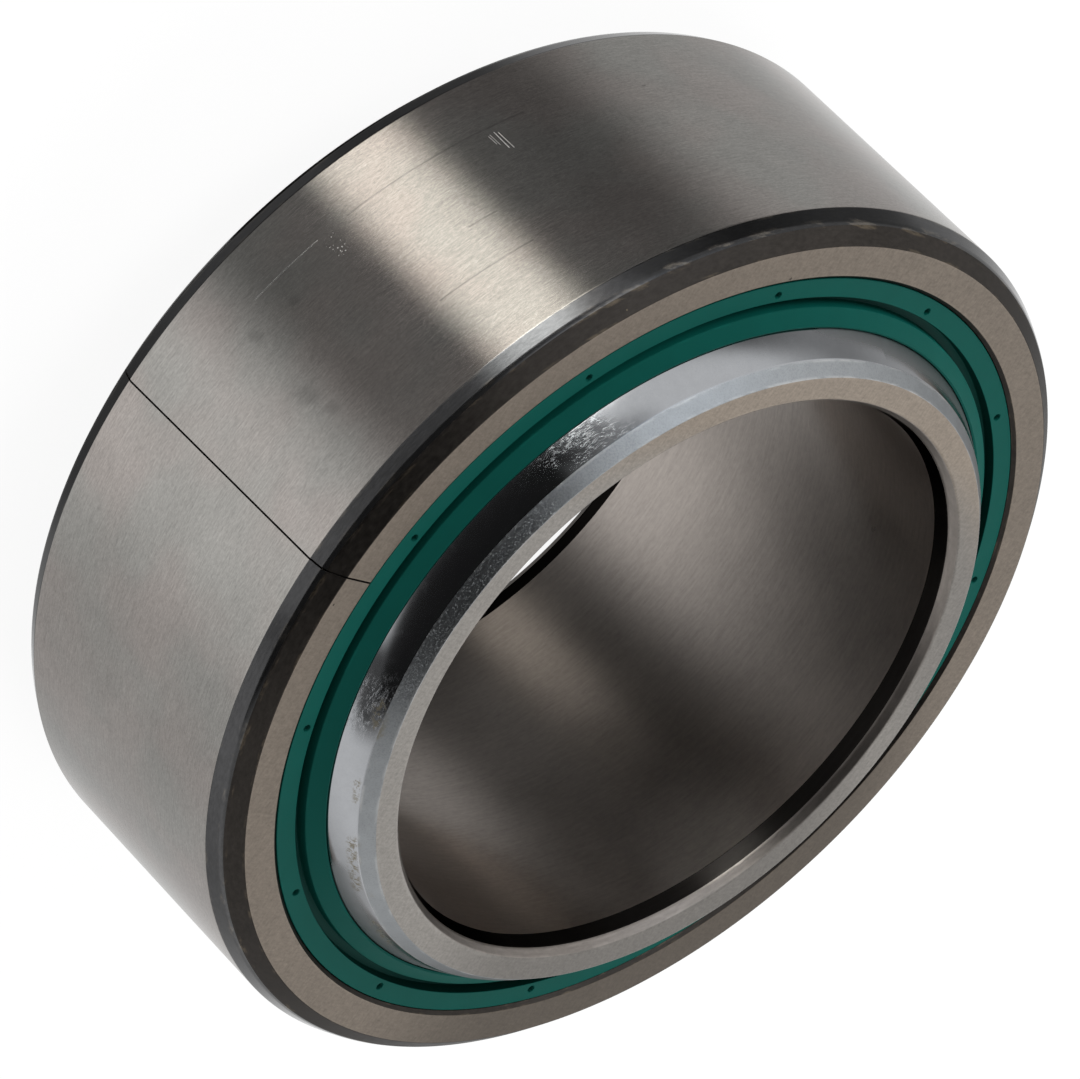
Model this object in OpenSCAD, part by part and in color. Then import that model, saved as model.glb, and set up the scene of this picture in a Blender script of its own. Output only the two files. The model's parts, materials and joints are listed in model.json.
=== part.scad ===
// Sealed spherical plain bearing: a ball-shaped inner ring in a fractured outer ring,
// with a bonded sliding liner between them and a lip seal at each end.
// Millimetres. Origin at the centre of the ball, +Z along the bore, standing on the inner ring's lower end.

/* [Bearing] */
// Bore diameter of the inner ring
bore_d = 40; // [34:0.5:41]
// Outside diameter of the outer ring
outer_d = 62; // [60:0.5:80]
// Width of the inner ring
inner_w = 28; // [26:0.5:30]
// Width of the outer ring
outer_w = 22; // [20:0.5:24]
// Diameter of the ball-shaped sliding surface
ball_d = 53; // [52:0.25:55]

/* [Outer ring] */
// Radial depth of the shallow lead-in facet at each outer edge
lead_depth = 0.47; // [0.2:0.01:0.7]
// Axial length of the lead-in facet
lead_length = 1.03; // [0.6:0.01:1.5]
// Radial depth of the steeper facet between the lead-in and the side face
corner_depth = 1.02; // [0.4:0.01:1.2]
// Axial length of the steeper facet
corner_length = 0.88; // [0.4:0.01:1.2]
// Width of the fracture that lets the ring open to take the ball
fracture_w = 0.12; // [0.05:0.01:0.3]
// Bevel at the mouth of each seal seat
mouth_bevel = 0.24; // [0.1:0.01:0.5]

/* [Sliding liner] */
// Thickness of the liner
liner_t = 0.5; // [0.3:0.05:0.8]

/* [Inner ring] */
// Axial length of the bevel between the ball and each end face
end_bevel_length = 0.84; // [0.4:0.01:1.2]
// Radial depth of that bevel
end_bevel_depth = 0.73; // [0.4:0.01:1]
// Radial depth of the steep facet at each bore mouth
mouth_depth = 0.38; // [0.2:0.01:0.6]
// Axial length of the steep facet
mouth_length = 0.54; // [0.3:0.01:0.9]
// Radial depth of the shallow facet that leads on to the bore
bore_lead_depth = 0.31; // [0.1:0.01:0.5]
// Axial length of the shallow facet
bore_lead_length = 0.99; // [0.5:0.01:1.5]

/* [Seals] */
// Height of the lip's tip above the outer ring's side face
lip_rise = 0.45; // [0.2:0.01:0.8]
// Thickness of the lip at its tip
lip_t = 0.15; // [0.1:0.01:0.25]
// Radial reach of the sloping lip from its root to its tip
lip_reach = 0.97; // [0.7:0.01:1.3]
// Width of the groove behind the lip
groove_w = 0.69; // [0.4:0.01:0.9]
// Depth of the groove behind the lip
groove_depth = 0.8; // [0.4:0.05:1]
// Radial draft of the groove's walls
groove_draft = 0.06; // [0:0.01:0.1]
// Width of the flat rim outside the groove
rim_w = 1.33; // [1:0.01:1.8]
// Depth of the rim below the outer ring's side face
rim_recess = 0.19; // [0.05:0.01:0.4]
// Height of the seal below its rim
seal_h = 1.8; // [1.6:0.05:2.2]
// Radial height of the bead that snaps into the outer ring
bead_depth = 0.55; // [0.3:0.05:0.8]
// Height of the bead's straight wall
bead_h = 0.55; // [0.3:0.05:0.7]
// Height of the bead's sloping flank
flank_h = 0.35; // [0.2:0.05:0.5]
// Depth of the hollow between the seal's two sliding edges
relief_t = 0.2; // [0.1:0.05:0.25]
// Height of the lower sliding edge
inner_edge_h = 0.35; // [0.2:0.05:0.5]
// Height of the hollow
relief_h = 1.1; // [0.6:0.05:1.3]
// Number of small moulding pits round the rim
pit_count = 12; // [6:1:24]
// Diameter of a pit
pit_d = 0.5; // [0.3:0.05:0.8]
// Depth of a pit
pit_depth = 0.6; // [0.2:0.05:1]
// Distance of the pits' centres from the groove's edge
pit_inset = 0.5; // [0.45:0.01:0.7]
// Turn of the first pit from the fracture
pit_turn = 22; // [0:1:29]

/* [Fits] */
// Radial running gap between the ball and the liner
ball_gap = 0.03; // [0.01:0.01:0.1]
// Film of adhesive between the liner and the outer ring
bond_t = 0.03; // [0.01:0.01:0.1]
// Gap between a seal and its seat
seat_gap = 0.05; // [0.02:0.01:0.1]
// Gap between a seal's sliding edges and the ball
lip_gap = 0.05; // [0.02:0.01:0.1]

/* [Hidden] */
$fn = 96;

// Amount by which a cutter runs past the solid that it cuts
cut_over = 1;
// Direction of the fracture round the bore, towards the front
fracture_turn = -90;

ball_r = ball_d / 2;
bore_r = bore_d / 2;
outer_r = outer_d / 2;
inner_end = inner_w / 2;
side_z = outer_w / 2;

// The liner lies between the ball's running gap and the film of adhesive
liner_bore_r = ball_r + ball_gap;
liner_outer_r = liner_bore_r + liner_t;
socket_r = liner_outer_r + bond_t;

// The inner ring's end face starts where the bevel leaves the ball
bevel_z = inner_end - end_bevel_length;
bevel_r = sqrt(ball_r * ball_r - bevel_z * bevel_z);
end_face_r = bevel_r - end_bevel_depth;

// The lip's tip stands on the ball, and the seal's other radii follow outwards from it
seal_ball_r = ball_r + lip_gap;
tip_z = side_z + lip_rise;
tip_r = sqrt(pow(seal_ball_r + lip_t, 2) - tip_z * tip_z);
lip_root_r = tip_r + lip_reach;
groove_r = lip_root_r + groove_w;
seal_r = groove_r + rim_w;
bead_r = seal_r + bead_depth;
pit_circle_r = groove_r + pit_inset;

// Heights of the seal, from its rim down
rim_z = side_z - rim_recess;
groove_z = rim_z - groove_depth;
seal_z = rim_z - seal_h;
bead_z = seal_z + bead_h;
flank_z = bead_z + flank_h;

// The outer ring's seat is the seal's own outline, a gap wider
seat_r = seal_r + seat_gap;
undercut_r = bead_r + seat_gap;
seat_z = seal_z - seat_gap;
mouth_r = seat_r + mouth_bevel;

// A list of [radius, height] points above the middle plane, closed by its own mirror image
function both_halves(upper) =
    concat(upper, [for (i = [len(upper) - 1 : -1 : 0]) [upper[i].x, -upper[i].y]]);

// A point moved along its line to the centre until it lies a given distance from the centre
function at_distance(point, distance) = point * distance / norm(point);

// The fracture as a thin radial cutter through one side of the ring
module fracture_cut() {
    rotate([0, 0, fracture_turn])
        translate([0, -fracture_w / 2, -side_z - cut_over])
            cube([outer_r + cut_over, fracture_w, outer_w + 2 * cut_over]);
}

// One ring of outer race, with its edge facets, seal seats and ball socket
module outer_ring() {
    section = both_halves([
        [outer_r, side_z - corner_length - lead_length],
        [outer_r - lead_depth, side_z - corner_length],
        [outer_r - lead_depth - corner_depth, side_z],
        [mouth_r, side_z],
        [seat_r, side_z - mouth_bevel],
        [seat_r, flank_z + seat_gap],
        [undercut_r, bead_z + seat_gap],
        [undercut_r, seat_z],
        [bore_r, seat_z]
    ]);
    color([0.55, 0.53, 0.51])
        difference() {
            rotate_extrude() polygon(section);
            sphere(r = socket_r);
            fracture_cut();
        }
}

// The liner fills the socket between the two seal seats, and is parted at the fracture
module sliding_liner() {
    color([0.35, 0.31, 0.22])
        difference() {
            intersection() {
                sphere(r = liner_outer_r);
                translate([0, 0, -seat_z]) cylinder(r = outer_r, h = 2 * seat_z);
            }
            sphere(r = liner_bore_r);
            fracture_cut();
        }
}

// The ball, cut to width, with a bevel at each end and a two-facet mouth at each end of its bore
module inner_ring() {
    bevel = [end_bevel_depth, -end_bevel_length];
    past_ball = [end_face_r, inner_end] + 2 * bevel;
    section = both_halves([
        [ball_r + cut_over, past_ball.y],
        past_ball,
        [end_face_r, inner_end],
        [bore_r + bore_lead_depth + mouth_depth, inner_end],
        [bore_r + bore_lead_depth, inner_end - mouth_length],
        [bore_r, inner_end - mouth_length - bore_lead_length]
    ]);
    color([0.72, 0.71, 0.70])
        intersection() {
            sphere(r = ball_r);
            rotate_extrude() polygon(section);
        }
}

// A moulded seal: snap bead, flat rim with pits, groove, and a lip whose underside follows the ball
module seal() {
    in_ball = ball_r - cut_over;
    section = [
        [seal_r, rim_z],
        [groove_r, rim_z],
        [groove_r - groove_draft, groove_z],
        [lip_root_r + groove_draft, groove_z],
        [lip_root_r, rim_z],
        [tip_r, tip_z],
        at_distance([tip_r, tip_z], in_ball),
        [sqrt(in_ball * in_ball - seal_z * seal_z), seal_z],
        [bead_r, seal_z],
        [bead_r, bead_z],
        [seal_r, flank_z]
    ];
    difference() {
        rotate_extrude() polygon(section);
        sphere(r = seal_ball_r);
        intersection() {
            sphere(r = seal_ball_r + relief_t);
            translate([0, 0, seal_z + inner_edge_h]) cylinder(r = outer_r, h = relief_h);
        }
        for (i = [0 : pit_count - 1])
            rotate([0, 0, fracture_turn + pit_turn + i * 360 / pit_count])
                translate([pit_circle_r, 0, rim_z - pit_depth])
                    cylinder(d = pit_d, h = pit_depth + cut_over);
    }
}

module upper_seal() {
    color([0.07, 0.33, 0.28]) seal();
}

module lower_seal() {
    color([0.07, 0.33, 0.28]) mirror([0, 0, 1]) seal();
}

outer_ring();
sliding_liner();
inner_ring();
upper_seal();
lower_seal();
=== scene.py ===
"""Looks of a sealed spherical plain bearing: ground steel rings, a plated ball and green lip seals."""
import json
import math
from types import SimpleNamespace

import bpy
import numpy as np
from bpy.props import FloatProperty, FloatVectorProperty, IntProperty, PointerProperty
from mathutils import Matrix, Vector


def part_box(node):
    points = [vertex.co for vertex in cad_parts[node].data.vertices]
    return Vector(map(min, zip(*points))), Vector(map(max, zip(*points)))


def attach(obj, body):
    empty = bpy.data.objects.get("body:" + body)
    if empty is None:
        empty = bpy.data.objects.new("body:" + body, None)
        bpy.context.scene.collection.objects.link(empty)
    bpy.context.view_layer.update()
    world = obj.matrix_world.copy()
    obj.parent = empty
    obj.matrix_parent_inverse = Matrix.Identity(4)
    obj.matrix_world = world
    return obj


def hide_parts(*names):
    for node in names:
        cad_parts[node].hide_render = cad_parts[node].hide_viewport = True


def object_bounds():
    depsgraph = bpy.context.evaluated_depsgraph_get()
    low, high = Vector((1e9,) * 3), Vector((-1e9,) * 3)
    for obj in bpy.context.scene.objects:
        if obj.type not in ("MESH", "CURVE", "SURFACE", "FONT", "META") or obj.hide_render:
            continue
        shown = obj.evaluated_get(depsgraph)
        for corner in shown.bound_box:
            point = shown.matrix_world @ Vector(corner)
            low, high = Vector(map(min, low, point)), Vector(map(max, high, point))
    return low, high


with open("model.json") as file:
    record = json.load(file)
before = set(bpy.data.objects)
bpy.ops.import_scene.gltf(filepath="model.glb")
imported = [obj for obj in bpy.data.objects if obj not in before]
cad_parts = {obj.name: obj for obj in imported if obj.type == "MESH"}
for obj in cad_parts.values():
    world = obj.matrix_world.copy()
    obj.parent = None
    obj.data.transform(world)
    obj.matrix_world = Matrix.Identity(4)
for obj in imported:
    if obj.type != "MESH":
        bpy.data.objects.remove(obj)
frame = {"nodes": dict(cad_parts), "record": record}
CAD_BOX = [list(corner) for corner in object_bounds()]

bl_info = {
    "name": "Spherical Plain Bearing",
    "version": (1, 0, 0),
    "blender": (4, 5, 0),
    "location": "View3D > Sidebar > Bearing",
    "description": "Builds the rings and seals of a sealed spherical plain bearing, with their finishes",
    "category": "Add Mesh",
}

MM = 0.001
FULL_TURN = 2 * math.pi
AXIAL = (0.0, 0.0, 1.0)
WHITE = (1.0, 1.0, 1.0, 1.0)

# Driving sizes that the frame holds, in metres
MOUNT_RADII = {m["name"]: m["dims"]["r_mm"] * MM for m in frame["record"]["mounts"] if "r_mm" in m["dims"]}
BORE_R = MOUNT_RADII["bore"]
OUTER_R = MOUNT_RADII["outside_diameter"]
BALL_R = round(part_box("inner_ring")[1].x, 5)
INNER_END = round(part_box("inner_ring")[1].z, 5)
SIDE_Z = round(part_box("outer_ring")[1].z, 5)
LOWEST_Z = CAD_BOX[0][2]


def length(name, description, millimetres):
    """A length that the user may change, given here in millimetres and kept in metres."""
    return FloatProperty(name=name, description=description, default=millimetres * MM,
                         unit="LENGTH", subtype="DISTANCE", precision=5)


def colour(name, description, *linear):
    """A linear colour that the user may change."""
    return FloatVectorProperty(name=name, description=description, default=linear,
                               subtype="COLOR", size=3, min=0, max=1)


def angle(name, description, degrees):
    """An angle that the user may change, given here in degrees and kept in radians."""
    return FloatProperty(name=name, description=description, default=math.radians(degrees),
                         unit="ROTATION", subtype="ANGLE")


class BearingSizes(bpy.types.PropertyGroup):
    """Sizes of the edges, facets, seals and fracture."""
    lead_depth: length("Lead-in depth", "Radial depth of the shallow facet at each outer edge", 0.47)
    lead_length: length("Lead-in length", "Axial length of that facet", 1.03)
    corner_depth: length("Corner depth", "Radial depth of the steeper facet next to the side face", 1.02)
    corner_length: length("Corner length", "Axial length of that facet", 0.88)
    fracture_w: length("Fracture width", "Width of the fracture in the outer ring", 0.12)
    mouth_bevel: length("Seat bevel", "Bevel at the mouth of each seal seat", 0.24)
    liner_t: length("Liner thickness", "Thickness of the liner with its film and running gap", 0.56)
    end_bevel_length: length("End bevel length", "Axial length of the bevel beside the ball", 0.84)
    end_bevel_depth: length("End bevel depth", "Radial depth of that bevel", 0.73)
    mouth_depth: length("Bore mouth depth", "Radial depth of the steep facet at each bore mouth", 0.38)
    mouth_length: length("Bore mouth length", "Axial length of that facet", 0.54)
    bore_lead_depth: length("Bore lead depth", "Radial depth of the facet that leads to the bore", 0.31)
    bore_lead_length: length("Bore lead length", "Axial length of that facet", 0.99)
    lip_rise: length("Lip rise", "Height of the lip's tip above the side face", 0.45)
    lip_t: length("Lip thickness", "Thickness of the lip at its tip", 0.15)
    lip_reach: length("Lip reach", "Radial reach of the lip from root to tip", 0.97)
    groove_w: length("Groove width", "Width of the groove behind the lip", 0.69)
    groove_depth: length("Groove depth", "Depth of that groove", 0.8)
    groove_draft: length("Groove draft", "Radial draft of that groove's walls", 0.06)
    rim_w: length("Rim width", "Width of the flat rim outside the groove", 1.33)
    rim_recess: length("Rim recess", "Depth of the rim below the side face", 0.19)
    seal_h: length("Seal height", "Height of the seal below its rim", 1.8)
    bead_depth: length("Bead depth", "Radial height of the snap bead", 0.55)
    bead_h: length("Bead height", "Height of the bead's straight wall", 0.55)
    flank_h: length("Flank height", "Height of the bead's sloping flank", 0.35)
    relief_t: length("Relief depth", "Depth of the hollow between the two sliding edges", 0.2)
    inner_edge_h: length("Lower edge height", "Height of the lower sliding edge", 0.35)
    relief_h: length("Relief height", "Height of the hollow", 1.1)
    pit_d: length("Pit diameter", "Diameter of a moulding pit", 0.5)
    pit_depth: length("Pit depth", "Depth of a moulding pit", 0.6)
    pit_inset: length("Pit inset", "Distance of the pits' centres from the groove", 0.5)
    fit_gap: length("Fit gap", "Gap between a seal and what it fits", 0.05)
    pit_count: IntProperty(name="Pits", description="Number of moulding pits", default=12, min=3)
    pit_turn: angle("Pit turn", "Turn of the first pit from the fracture", 22)
    fracture_turn: angle("Fracture turn", "Direction of the fracture round the bore", -90)


class BearingColours(bpy.types.PropertyGroup):
    """Base colours of the finishes, linear."""
    outside: colour("Outside", "Ground outside surface", 0.370, 0.352, 0.336)
    # The lead-in is bare steel: its dark colour is painted shade, standing in for the dark room that it
    # mirrors
    lead_in: colour("Lead-in", "Blackened lead-in facet", 0.077, 0.077, 0.079)
    corner: colour("Corner", "Blackened corner facet", 0.042, 0.037, 0.033)
    side: colour("Side face", "Ground side face", 0.207, 0.175, 0.144)
    plating: colour("Plating", "Hard plating of the ball", 0.38, 0.39, 0.405)
    bevel: colour("End bevel", "Frosted bevel beside the ball", 0.33, 0.345, 0.357)
    end_face: colour("End face", "Ground end face of the inner ring", 0.296, 0.279, 0.258)
    mouth: colour("Bore mouth", "Steep facet at the mouth of the bore", 0.245, 0.222, 0.203)
    bore_lead: colour("Bore lead", "Shallow facet that leads to the bore", 0.017, 0.0155, 0.0145)
    bore: colour("Bore", "Ground bore", 0.41, 0.37, 0.34)
    seal: colour("Seal", "Green moulded seal", 0.003, 0.086, 0.069)
    liner: colour("Liner", "Woven sliding liner", 0.10, 0.08, 0.045)
    stain: colour("Stain", "Yellow-brown residue", 0.20, 0.155, 0.065)


class BearingStage(bpy.types.PropertyGroup):
    """Camera, lamps and floor."""
    azimuth: angle("Azimuth", "Direction of the camera round the bore", -109.01)
    elevation: angle("Elevation", "Height of the camera above the horizon", 34.36)
    roll: angle("Roll", "Turn of the camera about its own line of sight", 135.17)
    distance: length("Distance", "Distance of the camera from its aim", 525.02)
    aim_right: length("Aim right", "Aim to the right of the centre, in the image", -0.36)
    aim_up: length("Aim up", "Aim above the centre, in the image", 0.384)
    lens: FloatProperty(name="Lens", description="Focal length in millimetres", default=289.53)
    lamp_power: FloatProperty(name="Lamps", description="Power of the lamps", default=2.77, unit="POWER")
    floor_glow: FloatProperty(name="Floor", description="Part of the floor's white that no shadow takes",
                              default=0.93, min=0, max=1, subtype="FACTOR")
    floor_shade: FloatProperty(name="Shade", description="Part of the floor's white that the shadow takes",
                               default=0.12, min=0, max=1, subtype="FACTOR")


# Profiles of revolution

def arc(radius, z_from, z_to, steps):
    """Points of a circle about the centre, r = sqrt(radius^2 - z^2), at even angles between two heights."""
    turn = np.linspace(math.asin(z_from / radius), math.asin(z_to / radius), steps + 1)
    return np.column_stack([radius * np.cos(turn), radius * np.sin(turn)])


class Profile:
    """A closed outline in radius and height, run anticlockwise, with a finish for each stretch.

    Each corner is rounded by a quadratic curve between the points that lie its edge length before and
    after it, so the outline's normal turns evenly from one flat to the next.
    """
    # Share of a flat that one rounded corner may take
    ROOM = 0.3

    def __init__(self):
        self.rows = []

    def corners(self, *rows):
        """Corners: radius, height, edge length, and finish of the stretch that follows."""
        self.rows += rows

    def smooth(self, points, finish):
        """Points of a round stretch, which aren't corners."""
        self.corners(*[(r, z, 0.0, finish) for r, z in points])

    def curve(self, points, edge, finish):
        """A round stretch whose two ends are corners."""
        self.corners((*points[0], edge, finish))
        self.smooth(points[1:-1], finish)
        self.corners((*points[-1], edge, finish))

    def mirror(self, closing_finish):
        """Closes the upper half by its mirror image, with the finish of the closing stretch."""
        below = []
        for i in range(len(self.rows) - 1, -1, -1):
            r, z, edge, _ = self.rows[i]
            below.append((r, -z, edge, self.rows[i - 1][3] if i else closing_finish))
        self.rows += below
        return self

    def points(self, steps=3, support=0.12 * MM):
        """Arrays of place, normal, edge share and finish along the outline.

        A rounded corner P gives B(t) = P + e((1-t)^2 (-a) + t^2 b), with a and b the directions before and
        after it, and one more point along each flat, where the edge share is back to nothing.
        """
        spots = np.array([row[:2] for row in self.rows])
        edges = np.array([row[2] for row in self.rows])
        ahead = np.roll(spots, -1, 0) - spots
        reach = np.hypot(*ahead.T)
        out_way = ahead / reach[:, None]
        in_way = np.roll(out_way, 1, 0)
        room = self.ROOM * np.minimum(reach, np.roll(reach, 1))
        t = np.linspace(0, 1, steps + 1)
        half = (steps + 1) // 2
        place, way, share, finish = [], [], [], []
        for i, (spot, a, b) in enumerate(zip(spots, in_way, out_way)):
            before, after = self.rows[i - 1][3], self.rows[i][3]
            e = min(edges[i], room[i])
            if e == 0:
                place.append(spot[None])
                way.append((a + b)[None])
                share.append(np.zeros(1))
                finish.append([after])
                continue
            far = e + min(support, room[i])
            bend = spot + e * (np.outer(t ** 2, b) - np.outer((1 - t) ** 2, a))
            place.append(np.vstack([spot - far * a, bend, spot + far * b]))
            way.append(np.vstack([a, np.outer(t, b) + np.outer(1 - t, a), b]))
            share.append(np.concatenate([[0], np.ones(steps + 1), [0]]))
            finish.append([before] * (1 + half) + [after] * (steps + 2 - half))
        place, way = np.vstack(place), np.vstack(way)
        way /= np.linalg.norm(way, axis=1)[:, None]
        normal = np.column_stack([way[:, 1], -way[:, 0]])
        return place, normal, np.concatenate(share), [name for names in finish for name in names]


def revolve(place, normal, theta):
    """Surface of revolution: (r cos t, r sin t, z), with its normals, for each profile point and angle."""
    theta = np.broadcast_to(theta, (len(place), theta.shape[-1]))
    spin = np.stack([np.cos(theta), np.sin(theta), np.ones_like(theta)], -1)
    ring = place[:, None, [0, 0, 1]] * spin
    return ring, normal[:, None, [0, 0, 1]] * spin


def new_object(name, data):
    """An object at the origin that shows the data."""
    made = bpy.data.objects.new(name, data)
    bpy.context.scene.collection.objects.link(made)
    return made


def ring_mesh(name, grid, normals, share, finishes, materials, gap=False):
    """Mesh of a grid of points that is closed along the profile and, unless it has a gap, round the axis.

    Each cell is one four-sided face. A gap's two ends are closed by one face each, shaped like the profile.
    """
    rows, columns = grid.shape[:2]
    index = np.arange(rows * columns).reshape(rows, columns)
    up = np.roll(index, -1, 0)
    cells = np.stack([index, np.roll(index, -1, 1), np.roll(up, -1, 1), up], -1)
    if gap:
        cells = cells[:, :-1]
    corners = cells.ravel()
    corner_normals = normals.reshape(-1, 3)[corners]
    slots = [m.name for m in materials]
    row_slot = np.array([slots.index(f) for f in finishes])
    face_slot = np.repeat(row_slot, cells.shape[1])
    sizes = np.full(len(face_slot), 4)
    if gap:
        for side, outward in ((0, 1), (-1, -1)):
            flat = np.cross(grid[0, side], AXIAL)
            flat = flat / np.linalg.norm(flat) * outward
            corner_normals = np.vstack([corner_normals, np.tile(flat, (rows, 1))])
        corners = np.concatenate([corners, index[:, 0], index[::-1, -1]])
        face_slot = np.concatenate([face_slot, [slots.index("fracture_face")] * 2])
        sizes = np.concatenate([sizes, [rows, rows]])
    mesh = bpy.data.meshes.new(name)
    mesh.vertices.add(rows * columns)
    mesh.vertices.foreach_set("co", grid.astype(np.float32).ravel())
    mesh.loops.add(len(corners))
    mesh.loops.foreach_set("vertex_index", corners.astype(np.int32))
    mesh.polygons.add(len(sizes))
    mesh.polygons.foreach_set("loop_start", (np.cumsum(sizes) - sizes).astype(np.int32))
    for material in materials:
        mesh.materials.append(material)
    mesh.polygons.foreach_set("material_index", face_slot.astype(np.int32))
    mesh.update(calc_edges=True)
    mesh.normals_split_custom_set(corner_normals)
    edge = mesh.attributes.new("edge_share", "FLOAT", "POINT")
    edge.data.foreach_set("value", np.repeat(share, columns).astype(np.float32))
    return new_object(name, mesh)


# Node trees

def bare_tree(owner):
    """The emptied node tree of a material or world."""
    owner.use_nodes = True
    owner.node_tree.nodes.clear()
    return owner.node_tree


class Nodes:
    """A node tree, with short ways to add nodes and take their outputs."""

    def __init__(self, tree):
        self.tree = tree

    def supply(self, socket, value):
        """Feeds an input by another socket, or gives it a value."""
        if isinstance(value, bpy.types.NodeSocket):
            self.tree.links.new(value, socket)
        else:
            socket.default_value = value

    def add(self, kind, feeds=None, **settings):
        """Outputs of a new node, with its settings, and with its inputs fed."""
        made = self.tree.nodes.new("ShaderNode" + kind)
        for key, value in settings.items():
            setattr(made, key, value)
        for key, value in (feeds or {}).items():
            self.supply(made.inputs[key], value)
        return made.outputs

    def calc(self, operation, *terms, clamp=False):
        """Output of a Math node."""
        return self.add("Math", dict(enumerate(terms)), operation=operation, use_clamp=clamp)[0]

    def times(self, first, second):
        """Product of two values."""
        return self.calc("MULTIPLY", first, second)

    def most(self, first, second):
        """Greater of two values."""
        return self.calc("MAXIMUM", first, second)

    def line(self, value, slope, start):
        """A value times a slope, plus a start."""
        return self.calc("MULTIPLY_ADD", value, slope, start)

    def vector(self, operation, *terms, output=0):
        """Output of a Vector Math node."""
        feeds = {(3 if operation == "SCALE" and i == 1 else i): term for i, term in enumerate(terms)}
        return self.add("VectorMath", feeds, operation=operation)[output]

    def measure(self, operation, *terms):
        """Number that a Vector Math node puts out."""
        return self.vector(operation, *terms, output=1)

    def ramp(self, value, low, high, to_low=0.0, to_high=1.0):
        """Smooth step of a value from one end of a range to the other."""
        feeds = {0: value, 1: low, 2: high, 3: to_low, 4: to_high}
        return self.add("MapRange", feeds, interpolation_type="SMOOTHSTEP")[0]

    def mix(self, share, first, second):
        """Colour between two, by a share."""
        return self.add("Mix", {0: share, 6: first, 7: second}, data_type="RGBA")[2]

    def mix_shaders(self, share, first, second):
        """Shader between two, by a share."""
        return self.add("MixShader", {0: share, 1: first, 2: second})[0]

    def noise(self, place, scale, detail, roughness):
        """Soft noise from 0 to 1."""
        feeds = {"Vector": place, "Scale": scale, "Detail": detail, "Roughness": roughness}
        return self.add("TexNoise", feeds)[0]

    def object_place(self, *scale):
        """Place on the object, times a scale for each axis."""
        return self.vector("MULTIPLY", self.add("TexCoord")["Object"], scale)

    def use(self, group, **feeds):
        """Outputs of a group, fed by name: underscores stand for spaces."""
        named = {key.replace("_", " ").capitalize(): value for key, value in feeds.items()}
        return self.add("Group", named, node_tree=bpy.data.node_groups[group])


# Names of the groups' sockets that hold vectors: the others hold numbers
VECTOR_SOCKETS = ("Place", "Unrolled", "Start", "End")


def new_group(name, inputs, outputs):
    """An empty shader node group: its nodes, and its inputs and outputs by name."""
    tree = bpy.data.node_groups.new(name, "ShaderNodeTree")
    for way, sockets in (("INPUT", inputs), ("OUTPUT", outputs)):
        for socket in sockets:
            kind = "NodeSocketVector" if socket in VECTOR_SOCKETS else "NodeSocketFloat"
            tree.interface.new_socket(socket, in_out=way, socket_type=kind)
    given = tree.nodes.new("NodeGroupInput").outputs
    return Nodes(tree), given, tree.nodes.new("NodeGroupOutput").inputs


def surface_places_group():
    """Place in mm, and unrolled place: arc length round the axis, height and radius, in mm."""
    n, _, out = new_group("surface_places", [], ["Place", "Unrolled"])
    place = n.object_place(1 / MM, 1 / MM, 1 / MM)
    x, y, z = n.add("SeparateXYZ", {0: place})
    radius = n.calc("SQRT", n.calc("ADD", n.times(x, x), n.times(y, y)))
    along = n.times(n.calc("ARCTAN2", y, x), radius)
    n.supply(out["Place"], place)
    n.supply(out["Unrolled"], n.add("CombineXYZ", {0: along, 1: z, 2: radius})[0])


def grinding_grain_group():
    """Grinding lines: noise that is drawn out round the axis, with a broad mottle beneath it."""
    n, given, out = new_group("grinding_grain", ["Place", "Fineness", "Drawing"],
                              ["Streak", "Hair", "Mottle"])
    stretch = n.add("CombineXYZ", {0: 1.0, 1: 1.0, 2: given["Drawing"]})[0]
    drawn = n.vector("MULTIPLY", given["Place"], stretch)
    fine = n.vector("SCALE", drawn, given["Fineness"])
    hair = n.vector("MULTIPLY", fine, (0.22, 0.22, 1.3))
    n.supply(out["Streak"], n.noise(fine, 0.4, 3.0, 0.62))
    n.supply(out["Hair"], n.noise(hair, 0.4, 2.0, 0.6))
    n.supply(out["Mottle"], n.noise(given["Place"], 0.22, 3.0, 0.55))


def specks_group():
    """Small spots: cells of a scattered pattern, of which a share holds a spot of a given radius."""
    n, given, out = new_group("specks", ["Place", "Spacing", "Radius", "Share"], ["Mask"])
    scale = n.calc("DIVIDE", 1.0, given["Spacing"])
    waver = n.add("TexNoise", {"Vector": given["Place"], "Scale": 6.0})["Color"]
    rough = n.vector("MULTIPLY_ADD", waver, (0.16, 0.16, 0.16), given["Place"])
    cells = n.add("TexVoronoi", {"Vector": rough, "Scale": scale})
    spot = n.calc("LESS_THAN", cells["Distance"], n.times(given["Radius"], scale))
    chosen = n.calc("LESS_THAN", n.add("SeparateColor", {0: cells["Color"]})[0], given["Share"])
    n.supply(out["Mask"], n.times(spot, chosen))


def stroke_group():
    """A scratch or smear: one within half its width of the line between two points, nothing past its blur."""
    n, given, out = new_group("stroke", ["Place", "Start", "End", "Half width", "Blur"], ["Mask"])
    from_start = n.vector("SUBTRACT", given["Place"], given["Start"])
    run = n.vector("SUBTRACT", given["End"], given["Start"])
    along = n.measure("DOT_PRODUCT", from_start, run)
    share = n.calc("DIVIDE", along, n.measure("DOT_PRODUCT", run, run), clamp=True)
    off = n.vector("SUBTRACT", from_start, n.vector("SCALE", run, share))
    outer = n.calc("ADD", given["Half width"], given["Blur"])
    n.supply(out["Mask"], n.ramp(n.measure("LENGTH", off), outer, given["Half width"]))


def edge_wear_group():
    """Rubbed edges: the edge share, broken up by noise."""
    n, given, out = new_group("edge_wear", ["Place", "Edge share", "Amount"], ["Mask"])
    patches = n.noise(given["Place"], 1.1, 4.0, 0.65)
    reach = n.calc("ADD", patches, n.calc("SUBTRACT", given["Amount"], 0.5))
    n.supply(out["Mask"], n.times(n.ramp(reach, 0.45, 0.62), given["Edge share"]))


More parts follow.
